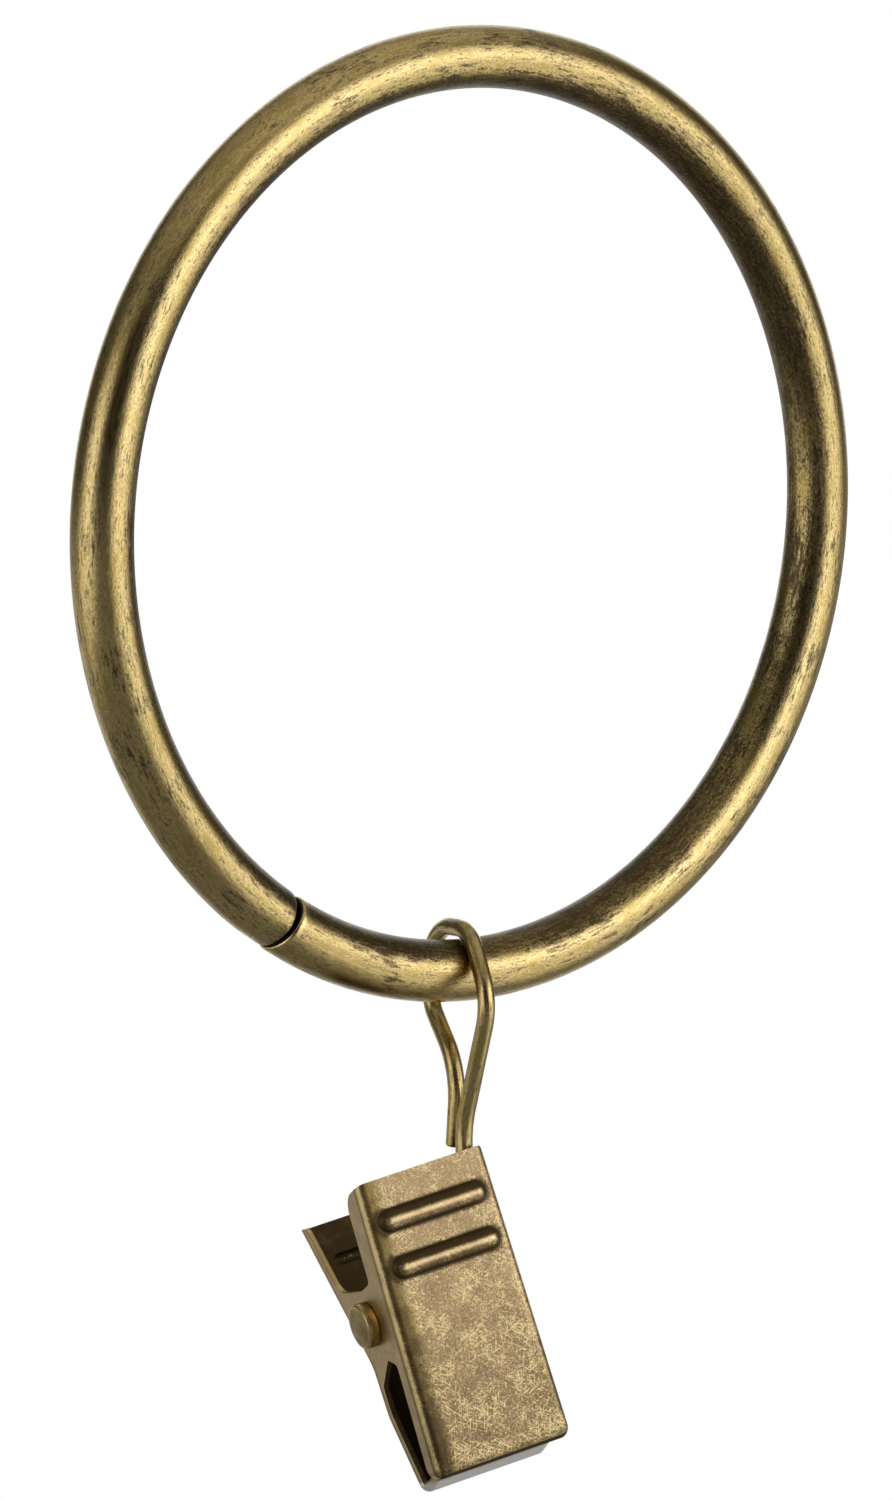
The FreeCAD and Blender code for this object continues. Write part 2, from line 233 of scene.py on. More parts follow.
# %% Light the studio
WHITE, BLACK = (1.0, 1.0, 1.0, 1.0), (0.0, 0.0, 0.0, 1.0)
WARM_ROOM = (1.0, 0.965, 0.88, 1.0)
COOL_LAMP = (1.0, 1.02, 1.13, 1.0)
ROOM, DARK_SIDE, CEILING, BACKDROP, RIGHT_WALL, LEFT_WALL = 0.08, 0.02, 0.50, 0.60, 1.53, 0.95
towards_camera = np.array([back[0], back[1], 0.0]) / np.hypot(back[0], back[1])
to_right = np.array([-towards_camera[1], towards_camera[0], 0.0])

world = bpy.data.worlds.new("studio")
world.use_nodes = True
bpy.context.scene.world = world
air = Flow(world.node_tree)
ray = air.node("ShaderNodeTexCoord", out=0)
height = ray.parts()[2]
facing = air.node(
    "ShaderNodeVectorMath", {"operation": "DOT_PRODUCT"}, {0: ray, 1: towards_camera.tolist()}, 1
)
sideways = air.node(
    "ShaderNodeVectorMath", {"operation": "DOT_PRODUCT"}, {0: ray, 1: to_right.tolist()}, 1
)
bearing = air.sum("ARCTAN2", sideways, facing)
backdrop = facing.step(-0.75, -0.97)
gloom = ROOM + (DARK_SIDE - ROOM) * facing.step(0.5, 0.9) + (BACKDROP - ROOM) * backdrop
right_glow = bearing.step(0.56, 0.80) * bearing.step(1.85, 1.40) * height.step(0.70, 0.38)
left_glow = bearing.step(-0.47, -0.68) * bearing.step(-1.55, -1.10) * height.step(0.66, 0.28)
overhead = height.step(0.50, 0.85) * (0.55 + 0.45 * sideways.step(-0.35, 0.25))
gloom = gloom + (CEILING - gloom) * overhead
gloom = gloom + right_glow * RIGHT_WALL + left_glow * LEFT_WALL
path = air.node("ShaderNodeLightPath").socket.node
by_camera, by_gloss, by_glass = (
    Flow(air.tree, path.outputs[name]) for name in ("Is Camera Ray", "Is Glossy Ray", "Is Transmission Ray")
)
seen = by_camera.most(by_gloss.most(by_glass) * backdrop)
brightness = gloom + (1.0 - gloom) * seen
shine = next(n for n in world.node_tree.nodes if n.type == "BACKGROUND")
lamp_like = right_glow.most(left_glow).most(seen)
warmth = seen.mix(lamp_like.mix(WARM_ROOM, COOL_LAMP), WHITE)
world.node_tree.links.new(warmth.socket, shine.inputs["Color"])
world.node_tree.links.new(brightness.socket, shine.inputs["Strength"])

RIGHT_BOX = towards_camera * 0.26 + to_right * 0.60 + np.array([0.0, 0.0, 0.10])
LEFT_BOX = towards_camera * 0.42 - to_right * 0.50 + np.array([0.0, 0.0, 0.06])
LIT_POINT = (0.0, 0.0, -0.02)


def softbox(name, place, width, tall, radiance):
    """A soft rectangular lamp that faces the clip: its power is radiance times pi times its area."""
    light = bpy.data.lights.new(name, "AREA")
    light.shape = "RECTANGLE"
    light.size = width
    light.size_y = tall
    light.energy = radiance * np.pi * width * tall
    lamp = bpy.data.objects.new(name, light)
    towards = Vector(LIT_POINT) - Vector(place)
    lamp.matrix_world = Matrix.Translation(place) @ towards.to_track_quat("-Z", "Y").to_matrix().to_4x4()
    bpy.context.scene.collection.objects.link(lamp)


softbox("softbox_right", RIGHT_BOX.tolist(), width=0.34, tall=0.30, radiance=0.45)
softbox("softbox_left", LEFT_BOX.tolist(), width=0.22, tall=0.30, radiance=0.35)
bpy.context.scene.view_settings.view_transform = "Standard"
print("softboxes at", RIGHT_BOX.round(2), LEFT_BOX.round(2))

# %% [markdown]
# The floor
#
# The floor is far enough below to leave the picture clean. Near the clip it is plain pale paper that keeps the
# shadow, and further out it turns into the white of the backdrop, so that no edge shows. The tube in the
# photograph mirrors a table that is light in parts and dark in others. A lamp for each part would spoil the even
# light, so the paper shows those parts to reflections alone, by where they lie from the camera.

# %% Lay the floor
FLOOR_DEPTH = -0.2
HALF_FLOOR = 4.0
PALE_PAPER = (0.86, 0.86, 0.85, 1.0)
TABLE, RIGHT_TABLE, LEFT_TABLE, BACK_TABLE, SIDE_TABLE, LEFT_REAR = 0.17, 0.92, 0.8, 0.52, 0.10, 0.30

floor_mesh = bpy.data.meshes.new("floor")
corners = [(x * HALF_FLOOR, y * HALF_FLOOR, FLOOR_DEPTH) for x, y in ((-1, -1), (1, -1), (1, 1), (-1, 1))]
floor_mesh.from_pydata(corners, [], [(0, 1, 2, 3)])
floor = bpy.data.objects.new("floor", floor_mesh)
bpy.context.scene.collection.objects.link(floor)

paper, flow, shader = new_finish("floor_paper")
spot = flow.node("ShaderNodeTexCoord", out=3)
across, along, _ = spot.parts()
away = (across * across + along * along) ** 0.5
rays = flow.node("ShaderNodeLightPath").socket.node
by_camera, by_gloss, by_glass = (
    Flow(flow.tree, rays.outputs[name]) for name in ("Is Camera Ray", "Is Glossy Ray", "Is Transmission Ray")
)
pure = (by_camera * (0.62 + 0.38 * away.step(0.3, 0.7))).most(by_gloss).most(by_glass)
rightwards = across * float(to_right[0]) + along * float(to_right[1])
behind = across * float(-towards_camera[0]) + along * float(-towards_camera[1])
right_edge = (rightwards + behind * 0.6).step(0.02, 0.28)
right_table = right_edge * (behind - 0.29 * rightwards).step(0.08, -0.10) * RIGHT_TABLE
left_edge = (behind * 0.6 - rightwards).step(-0.35, -0.10)
left_table = left_edge * rightwards.step(-0.28, -0.52) * behind.step(0.15, -0.10) * LEFT_TABLE
back_table = behind.step(0.10, 0.35) * abs(rightwards).step(0.22, 0.07) * BACK_TABLE
left_rear = rightwards.step(-0.10, -0.25) * rightwards.step(-0.95, -0.60)
side_table = behind.step(0.05, 0.30) * (SIDE_TABLE + LEFT_REAR * left_rear)
mirrored = right_table + left_table + back_table.most(side_table)
mirrored = (mirrored + TABLE).least(1.0)
shown = (by_gloss * (1.0 - mirrored)).mix(WHITE, BLACK)
glow = flow.node("ShaderNodeEmission", None, {"Color": shown, "Strength": 1.0})
connect(flow, shader, Base_Color=PALE_PAPER, Roughness=0.8)
blend = flow.node(
    "ShaderNodeMixShader", None, {0: pure, 1: Flow(flow.tree, shader.outputs[0]), 2: glow}
)
flow.tree.links.new(blend.socket, flow.tree.nodes["Material Output"].inputs["Surface"])
floor_mesh.materials.append(paper)
print("floor at", FLOOR_DEPTH, "m")

# %% [markdown]
# Surfaces from arrays
#
# Every new piece here is a profile carried along a path. Blender's curves could sweep a wire, but they give no
# control over rims and dents, and no measure along the wire for streaks to follow. So the points are worked out
# as one array of rows and columns, and the faces follow from the array's own numbering.

# %% A mesh from a grid of points
def grid_mesh(name, points, ring_rows=False, caps=False, **measures):
    """Joins a grid of points, rows by columns, into quads: columns always close, rows close when ring_rows is
    true, and caps fills the first and the last row with a fan round its middle. If the six-fold volume, the sum
    of p1 . (p2 x p3) over the faces, is negative, every face is turned round."""
    rows, columns = points.shape[:2]
    index = np.arange(rows * columns).reshape(rows, columns)
    low = index if ring_rows else index[:-1]
    high = np.roll(index, -1, 0) if ring_rows else index[1:]
    quads = np.stack([low, np.roll(low, -1, 1), np.roll(high, -1, 1), high], -1).reshape(-1, 4)
    spots = points.reshape(-1, 3)
    fans = np.zeros((0, 3), int)
    if caps:
        first, last = rows * columns, rows * columns + 1
        spots = np.vstack([spots, points[0].mean(0), points[-1].mean(0)])
        start = np.stack([np.full(columns, first), np.roll(index[0], -1), index[0]], -1)
        end = np.stack([np.full(columns, last), index[-1], np.roll(index[-1], -1)], -1)
        fans = np.vstack([start, end])
        measures = {
            key: np.concatenate([grid, grid[:1, 0], grid[-1:, 0]], None) if grid.ndim == 2
            else np.vstack([grid.reshape(-1, 3), grid[0].mean(0), grid[-1].mean(0)])
            for key, grid in measures.items()
        }
    volume = np.einsum("ij,ij->", spots[quads[:, 0]], np.cross(spots[quads[:, 1]], spots[quads[:, 2]]))
    volume += np.einsum("ij,ij->", spots[quads[:, 0]], np.cross(spots[quads[:, 2]], spots[quads[:, 3]]))
    if volume < 0:
        quads, fans = quads[:, ::-1], fans[:, ::-1]
    mesh = bpy.data.meshes.new(name)
    mesh.from_pydata(spots.tolist(), [], quads.tolist() + fans.tolist())
    mesh.polygons.foreach_set("use_smooth", np.ones(len(mesh.polygons), bool))
    for key, grid in measures.items():
        flat = grid.reshape(-1).astype(np.float32)
        kind, part = ("FLOAT_VECTOR", "vector") if flat.size == 3 * len(spots) else ("FLOAT", "value")
        mesh.attributes.new(key, kind, "POINT").data.foreach_set(part, flat)
    mesh.update()
    made = bpy.data.objects.new(name, mesh)
    bpy.context.scene.collection.objects.link(made)
    return made


def smooth(low, high, values):
    """The same S-shaped rise as in the shader, for arrays: 3 t t - 2 t t t, with t held between 0 and 1."""
    t = np.clip((values - low) / (high - low), 0.0, 1.0)
    return t * t * (3.0 - 2.0 * t)


print("the rise at its quarters:", smooth(0.0, 1.0, np.array([0.25, 0.5, 0.75])))

# %% [markdown]
# The hoop
#
# The hoop is a thin tube, rolled round until its two ends meet. The ends don't quite close: the gap is a wedge,
# open on the inside. A torus with a slit would have knife edges there, so the wall is drawn as one closed skin,
# which runs along the outside, turns over a rounded rim, comes back along the inside and turns over the other.

# %% Roll the tube into a hoop
HOOP_RADIUS = 27.375
TUBE_RADIUS = 1.875
TUBE_WALL = 0.45
SEAM_ANGLE = np.radians(239.5)
SEAM_AT_BORE = 0.60
SEAM_AT_RIM = 0.12
PINCH_REACH = 1.5
PINCH_DEPTH = 0.20
HANDLED_ANGLE = np.radians(-16.0)
SLID_ANGLE = np.radians(-48.0)
ROWS_OUTSIDE, ROWS_INSIDE, ROWS_RIM, COLUMNS = 640, 160, 9, 72


def hoop_skin():
    """The tube's wall as a closed skin. Each row has a tube radius and a place along the hoop from 0 to 1: the
    outside goes from 0 to 1, the rim is a half circle as thick as the wall, the inside goes back from 1 to 0.
    A point is hoop radius plus tube radius times (cos c outwards + sin c forwards), c being its column's angle,
    and the half gap at the seam grows in a straight line from the outer side of the tube to the bore side. The
    dark measure is 1 on the bore, less where hands and the wire rub it, and a little higher outside near the seam.
    It is 3 on the inside of the tube and the inner halves of its rims, where it marks painted shade, a near black,
    and below 0 on the one polished end, whose clean gold is also a painted highlight on its rounded edge."""
    ease = np.linspace(0.0, 1.0, ROWS_OUTSIDE)
    half_turn = np.linspace(0.0, np.pi, ROWS_RIM + 2)[1:-1]
    middle, round_over = TUBE_RADIUS - TUBE_WALL / 2, TUBE_WALL / 2
    place = np.concatenate([ease, np.ones(ROWS_RIM), np.linspace(1, 0, ROWS_INSIDE), np.zeros(ROWS_RIM)])
    radius = np.concatenate([
        np.full(ROWS_OUTSIDE, TUBE_RADIUS), middle + round_over * np.cos(half_turn),
        np.full(ROWS_INSIDE, TUBE_RADIUS - TUBE_WALL), middle - round_over * np.cos(half_turn),
    ])
    swell = np.concatenate([
        np.zeros(ROWS_OUTSIDE), round_over * np.sin(half_turn),
        np.zeros(ROWS_INSIDE), -round_over * np.sin(half_turn),
    ])
    inwards = smooth(0.9, 1.7, half_turn)
    inside = np.concatenate([np.zeros(ROWS_OUTSIDE), inwards, np.ones(ROWS_INSIDE), inwards[::-1]])
    around = np.linspace(0.0, 2 * np.pi, COLUMNS, endpoint=False)
    place, radius, swell, inside = (row[:, None] for row in (place, radius, swell, inside))
    out = np.cos(around)[None, :]
    front = np.sin(around)[None, :]
    half_gap = (SEAM_AT_BORE + SEAM_AT_RIM) / 4 - (SEAM_AT_BORE - SEAM_AT_RIM) / 4 * out
    from_centre = HOOP_RADIUS + radius * out
    start = (half_gap + round_over) / from_centre
    angle = SEAM_ANGLE + start + place * (2 * np.pi - 2 * start) + swell / HOOP_RADIUS
    to_end = (1.0 - place) * 2 * np.pi * HOOP_RADIUS
    pinch = PINCH_DEPTH * np.exp(-(to_end / PINCH_REACH) ** 2) * smooth(0.1, 0.9, out) * (0.55 + 0.45 * front)
    radius = radius - pinch
    from_centre = HOOP_RADIUS + radius * out
    points = np.stack([
        from_centre * np.cos(angle), -radius * front, from_centre * np.sin(angle)
    ], -1)
    length = angle * HOOP_RADIUS
    grain = np.stack(np.broadcast_arrays(length, TUBE_RADIUS * out, TUBE_RADIUS * front), -1)
    near_seam = np.exp(-np.minimum(to_end, place * 2 * np.pi * HOOP_RADIUS) / 0.5)
    # One seam end is polished, and its clean gold is also a painted highlight along its rounded edge.
    end_polish_and_highlight = np.exp(-place * 2 * np.pi * HOOP_RADIUS / 0.10) * (1.0 - inside)
    handled = smooth(0.80, 1.0, np.cos(angle - HANDLED_ANGLE))
    slid_over = smooth(0.6, 1.0, np.cos(angle - SLID_ANGLE))
    bore = smooth(-0.2, -0.65, out + 0.13 * slid_over) * (1.0 - 0.42 * handled)
    # The inside counts 3 times: painted shade that turns the tube's inside near black.
    soil = bore + 0.35 * near_seam * smooth(-0.2, 0.6, out) + 3.0 * inside - end_polish_and_highlight
    return points * MM, grain, np.clip(soil, -1.0, 3.0)


points, grain, soil = hoop_skin()
hoop = grid_mesh("hoop", points, ring_rows=True, grain=grain, soil=soil)
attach(hoop, "ring_body")
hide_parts("ring")
print("hoop:", len(hoop.data.polygons), "faces,", np.ptp(points.reshape(-1, 3), axis=0).round(4), "m")

# %% [markdown]
# Antique brass on tube and wire
#
# Tube and wire are drawn through a die, so their marks run lengthwise, and the dark antique layer is rubbed off
# where things touch them. An image could carry that, but each piece already has a measure along and around it.
# Noise stretched along that measure gives streaks that follow the bend and meet at every seam.

# %% A finish for drawn brass
GOLD = (0.82, 0.625, 0.27, 1.0)
OLIVE = (0.42, 0.300, 0.08, 1.0)
UMBER = (0.100, 0.066, 0.026, 1.0)
# The near black of the painted shade inside the tube.
TUBE_SHADE_BLACK = (0.012, 0.009, 0.006, 1.0)


def drawn_brass(name, soil_level, speckle, roughness):
    """Gold under a dark layer. The layer is the piece's dark measure plus slow patches and fine grain. Where the
    measure is over 1.6, on the tube's inside and the inner halves of its rims, the colour is painted shade: near
    black, rougher and barely metallic.
    """
    material, flow, shader = new_finish(name)
    grain = flow.node("ShaderNodeAttribute", {"attribute_name": "grain"}, out=1)
    soil = flow.node("ShaderNodeAttribute", {"attribute_name": "soil"}, out=2)
    streak = grain.stretch((0.18, 1.0, 1.0)).noise(5.0, 3.0, 0.6)
    fine = grain.stretch((0.55, 1.0, 1.0)).noise(8.5, 4.0, 0.8)
    patch = grain.stretch((0.5, 1.0, 1.0)).noise(0.55, 2.0, 0.5)
    speckled = 0.55 + 0.45 * (soil * 1.2 + (patch - 0.5) * 3.0).step(0.0, 0.6)
    rubbed = (fine - 0.5) * speckled * speckle + (streak - 0.5) * 2.0 + (patch - 0.5) * 1.3
    calm = 1.0 - 0.5 * soil.step(0.5, 1.0)
    tarnish_and_painted_light = (soil * 0.55 + soil_level - rubbed * calm).step(0.0, 0.95)
    dull = (0.5 + (streak - 0.5) * 2.2 + (patch - 0.5) * 1.6).step(0.35, 0.95)
    # Painted shade: the tube's inside and the inner halves of its rims turn near black, rougher and barely
    # metallic.
    tube_inside_shade = soil.step(1.6, 2.4)
    colour = tube_inside_shade.mix(tarnish_and_painted_light.mix((dull * 0.75).mix(GOLD, OLIVE), UMBER), TUBE_SHADE_BLACK)
    bump = relief(flow, fine * 0.6 + streak * 0.4, 0.5, 0.00004)
    gloss = roughness + tarnish_and_painted_light * 0.16 + (fine - 0.5) * 0.3 + tube_inside_shade * 0.4
    metal = 1.0 - tarnish_and_painted_light * 0.15 - tube_inside_shade * 0.8
    connect(flow, shader, Base_Color=colour, Roughness=gloss, Metallic=metal, Normal=bump)
    return material


hoop.data.materials.append(drawn_brass("antique_tube", soil_level=0.26, speckle=3.2, roughness=0.155))
print("hoop finish:", hoop.data.materials[0].name)

# %% [markdown]
# The wire hanger
#
# One piece of wire makes the loop round the hoop, the straight stem and the eye round the clip's pin. A curve with
# a bevel could draw it, but real wire is bent between pegs, so its line is straight runs joined by arcs. That line
# lies in one plane, which lets a circle be carried along it with two directions: one in the plane, one across it.

# %% Bend the wire
WIRE_RADIUS = 0.525
WIRE_STEP, RUN_STEP = 0.12, 0.5
STEM_ROWS, EYE_ROWS = 24, 90
HANGER_TURNS = np.radians([-2.0, -1.36, -12.0])
ROUTE = np.array([
    (1.1, -10.6, 0.0), (0.4, -6.1, 4.5), (3.95, -2.4, 2.2), (3.95, 2.52, 2.9), (-1.455, 2.52, 2.52),
    (-3.862, -1.65, 3.2), (-0.2, -9.4, 5.0), (-0.2, -19.81, 0.0),
])
EYE_RADIUS = 1.495
EYE_WRAP = np.radians(278.0)
WIRE_END = 0.16


def bent_line(route, eye_radius, eye_wrap):
    """Straight runs with an arc of the given radius in each corner, then the eye. An arc leaves its run at
    radius times tan(half the turn) before the corner, and its middle is that radius to the inner side."""
    pieces, at = [], route[0, :2]
    for corner, bend, after in zip(route[1:-1, :2], route[1:-1, 2], route[2:, :2]):
        before = (corner - at) / np.linalg.norm(corner - at)
        beyond = (after - corner) / np.linalg.norm(after - corner)
        turn = np.arctan2(before[0] * beyond[1] - before[1] * beyond[0], before @ beyond)
        start = corner - before * bend * np.tan(abs(turn) / 2)
        inward = np.sign(turn) * np.array([-before[1], before[0]])
        swing = np.linspace(0, abs(turn), max(6, int(bend * abs(turn) / WIRE_STEP)))[:, None]
        run = np.linspace(0, 1, max(3, int(np.linalg.norm(start - at) / RUN_STEP)))[:-1, None]
        pieces.append(at + (start - at) * run)
        pieces.append(start + inward * bend * (1 - np.cos(swing)) + before * bend * np.sin(swing))
        at = pieces[-1][-1]
        pieces[-1] = pieces[-1][:-1]
    run = np.linspace(0, 1, STEM_ROWS)[:-1, None]
    pieces.append(at + (route[-1, :2] - at) * run)
    middle = route[-1, :2] + np.array([eye_radius, 0.0])
    swing = np.pi + np.linspace(0, eye_wrap, EYE_ROWS)[:, None]
    pieces.append(middle + eye_radius * np.hstack([np.cos(swing), np.sin(swing)]))
    return np.vstack(pieces)


def wire_skin(line, radius, columns=28):
    """A circle carried along a flat line: point = line + radius (cos c times the in-plane normal + sin c times
    the plane's own). The last rows at each end go on by the soft edge's size and shrink over a quarter circle."""
    ahead = np.gradient(line, axis=0)
    ahead /= np.linalg.norm(ahead, axis=1)[:, None]
    tip = np.sin(np.linspace(0.0, np.pi / 2, 5))
    soft = radius - WIRE_END * (1 - np.sqrt(1 - (1 - tip) ** 2))
    first = line[:1] - ahead[:1] * (WIRE_END * (1 - tip))[:, None]
    last = line[-1:] + ahead[-1:] * (WIRE_END * (1 - tip[::-1]))[:, None]
    size = np.concatenate([soft, np.full(len(line) - 2, radius), soft[::-1]])
    path = np.vstack([first, line[1:-1], last])
    ahead = np.vstack([np.repeat(ahead[:1], len(tip), 0), ahead[1:-1], np.repeat(ahead[-1:], len(tip), 0)])
    across = np.stack([-ahead[:, 1], ahead[:, 0]], -1)
    around = np.linspace(0, 2 * np.pi, columns, endpoint=False)
    in_plane = path[:, None, :] + size[:, None, None] * np.cos(around)[None, :, None] * across[:, None, :]
    sideways = size[:, None] * np.sin(around)[None, :]
    points = np.concatenate([sideways[..., None], in_plane], -1)
    length = np.concatenate([[0], np.cumsum(np.linalg.norm(np.diff(path, axis=0), axis=1))])
    grain = np.stack(np.broadcast_arrays(
        length[:, None], radius * np.cos(around)[None, :], radius * np.sin(around)[None, :]
    ), -1)
    return points, grain


line = bent_line(ROUTE, EYE_RADIUS, EYE_WRAP)
points, grain = wire_skin(line, WIRE_RADIUS)
hanger_turn = np.array(Euler(HANGER_TURNS, "XYZ").to_matrix())
points = points @ hanger_turn.T + np.array([0.0, 0.0, -HOOP_RADIUS])
# The wire is darker towards its lower end, at the eye round the clip's pin.
soil = smooth(-17.5, -20.0, (points - [0, 0, -HOOP_RADIUS])[..., 2]) * 0.5
hanger = grid_mesh("wire_hanger", points * MM, caps=True, grain=grain, soil=soil)
hanger.data.materials.append(drawn_brass("antique_wire", soil_level=0.29, speckle=1.4, roughness=0.17))
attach(hanger, "hanger_body")
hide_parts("hanger")
print("wire:", len(line), "stations,", round(float(grain[-1, 0, 0]), 1), "mm long")

# %% [markdown]
# The clip's own directions
#
# The clip hangs askew, turned and tilted on all three axes. Its finish is easier to describe along its own
# directions: across the face, through the clip and up it. A Mapping node of the texture kind takes a place in the
# room back to those directions, in millimetres from the middle of the pin.

# %% Take places back to the clip
CLIP_TURNS = np.radians([-11.05, -14.57, -12.15])
clip_joint = next(joint for joint in frame["joints"] if joint["name"] == "clip_tilt")
clip_middle = np.array(clip_joint["pos_m"])
clip_turn = np.array(Euler(CLIP_TURNS, "XYZ").to_matrix())


def clip_places(flow):
    """Where a point is on the clip, in millimetres: across the face, through the clip, and up."""
    room = flow.node("ShaderNodeTexCoord", out=3)
    sockets = {
        "Vector": room, "Location": clip_middle.tolist(), "Rotation": CLIP_TURNS.tolist(), "Scale": (MM, MM, MM)
    }
    return flow.node("ShaderNodeMapping", {"vector_type": "TEXTURE"}, sockets)


print("pin at", clip_middle.round(4), "along", clip_turn[:, 0].round(3))

# %% [markdown]
# Antique brass on the jaws
#
# The jaws are pressed from sheet, darkened and tumbled. Tumbling rubs the flats to a mottled brown gold full of
# short scratches, leaves some patina in the hollows and polishes ribs and bends. Light and shade are painted on
# too: dark bands beside the ribs, a dark strip by the left bend and dark inside faces are painted shade, and the
# bright crests, flanges and cut edges and the pale bottom lip are painted highlights and a painted reflection.
# Each of those is a mask made from distances on the clip: to the ribs, to the edges of the face, and in from the
# outside.

# %% A finish for pressed brass
FACE_TAPER = np.tan(np.radians(0.82))
SCRATCH_TURNS = (0.35, 1.25, -0.5, 2.3)
BROWN_GOLD = (0.40, 0.278, 0.140, 1.0)
BRIGHT_GOLD = (0.90, 0.695, 0.34, 1.0)
# The near white of the painted reflection on the jaws' bottom lip.
LIP_REFLECTION_WHITE = (0.88, 0.84, 0.79, 1.0)
FRONT_FACE, FRONT_RIBS, FRONT_HALF = -3.8, (5.85, 2.95), 4.48
LEVER, CHEEK, BITE = (0.5658, 4.199), (0.077, 2.8215), (0.4044, 4.777)
LEAN_SINE, LEAN_COSINE, BACK_RIBS, BACK_HALF = 0.4924, 0.8704, (6.36, 3.46), 4.05
RIB_REACH = 3.0


def scratches(flow, place):
    """Short hairlines: noise stretched along four directions, each kept only where it crosses a narrow level."""
    total = 0.0
    for number, angle in enumerate(SCRATCH_TURNS):
        shift = (7.3 * number, 0.0, 3.1 * number)
        sockets = {"Vector": place, "Rotation": (0.0, angle, 0.0), "Location": shift}
        turned = flow.node("ShaderNodeMapping", {"vector_type": "POINT"}, sockets)
        hair = turned.stretch((1.3, 2.0, 13.0)).noise(1.0, 1.0, 0.4)
        total = (hair.step(0.60, 0.65) * hair.step(0.74, 0.69)) + total
    return total


def front_sheet(through, up):
    """The front jaw is flat: how far a point is out from its face, how far up it is, its ribs' heights and half
    its width."""
    return FRONT_FACE - through, up, FRONT_RIBS, FRONT_HALF


def back_sheet(through, up):
    """The back jaw is a line of three slopes, the highest of the lever and the lower of cheek and bite: a point is
    out from it by the distance behind that line, and its height is measured up the sloping lever. Then its ribs'
    heights and half its width."""
    lever, cheek, bite = (up * slope + start for slope, start in (LEVER, CHEEK, BITE))
    behind = through - bite.least(cheek).most(lever)
    return behind * 0.87 - 0.175, through * LEAN_SINE + up * LEAN_COSINE, BACK_RIBS, BACK_HALF


def rib_marks(across, height, ribs):
    """Each rib is a bar with round ends. Its hollows are the narrow strips above and below it and round its ends,
    which keep some patina and are painted dark as the shade on its flanks and ends, and its bulge is the height of
    a circle of radius 1 over its chord at 0.5, from the distance to the bar's line."""
    rib_shade_and_patina, bulge = 0.0, 0.0
    past = (abs(across) - RIB_REACH).most(0.0)
    for middle in ribs:
        over = height - middle
        near = (over * over + past * past) ** 0.5
        bulge = ((1.0 - near * near).most(0.0) ** 0.5 - 0.5).most(0.0) + bulge
        upper = near.step(0.95, 0.66) * over.step(0.02, 0.32)
        under = near.step(0.98, 0.70) * (over.step(-0.02, -0.30) * 0.55 + over.step(-0.40, -0.62) * 0.35)
        ends = near.step(1.2, 0.7) * past.step(0.1, 0.5) * 0.8
        rib_shade_and_patina = upper.most(under).most(ends) + rib_shade_and_patina
    return rib_shade_and_patina, bulge


